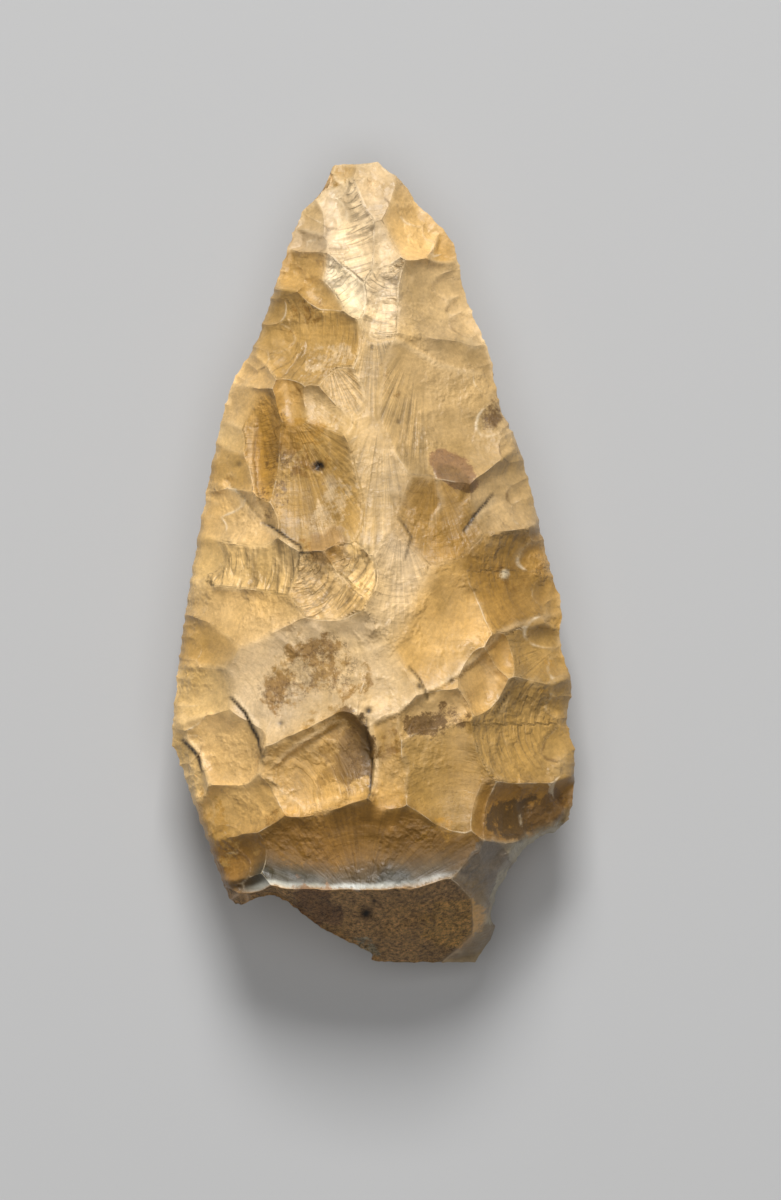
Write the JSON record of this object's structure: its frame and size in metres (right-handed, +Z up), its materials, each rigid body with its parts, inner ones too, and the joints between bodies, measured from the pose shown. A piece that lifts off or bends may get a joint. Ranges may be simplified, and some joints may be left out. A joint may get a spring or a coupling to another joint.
{
  "type": "stone hand axe",
  "caption": "Pointed oval hand axe knapped from one flint nodule: flake scars on both faces, a sharp wavy edge, and rough crust left on the butt.",
  "frame": {"origin": "middle of the bounding box in plan, at the height of the flat the stone rests on", "axes": "+Y to the tip, +Z up out of the higher face, +X to the right edge seen from above"},
  "size_m": [0.09, 0.1794, 0.043],
  "materials": {
    "flint": "creamy tan patina with a soft gloss, brown rough crust on the butt and one blue-grey fresh break"
  },
  "bodies": {
    "root": {"hand_axe": "flint"}
  },
  "joints": []
}
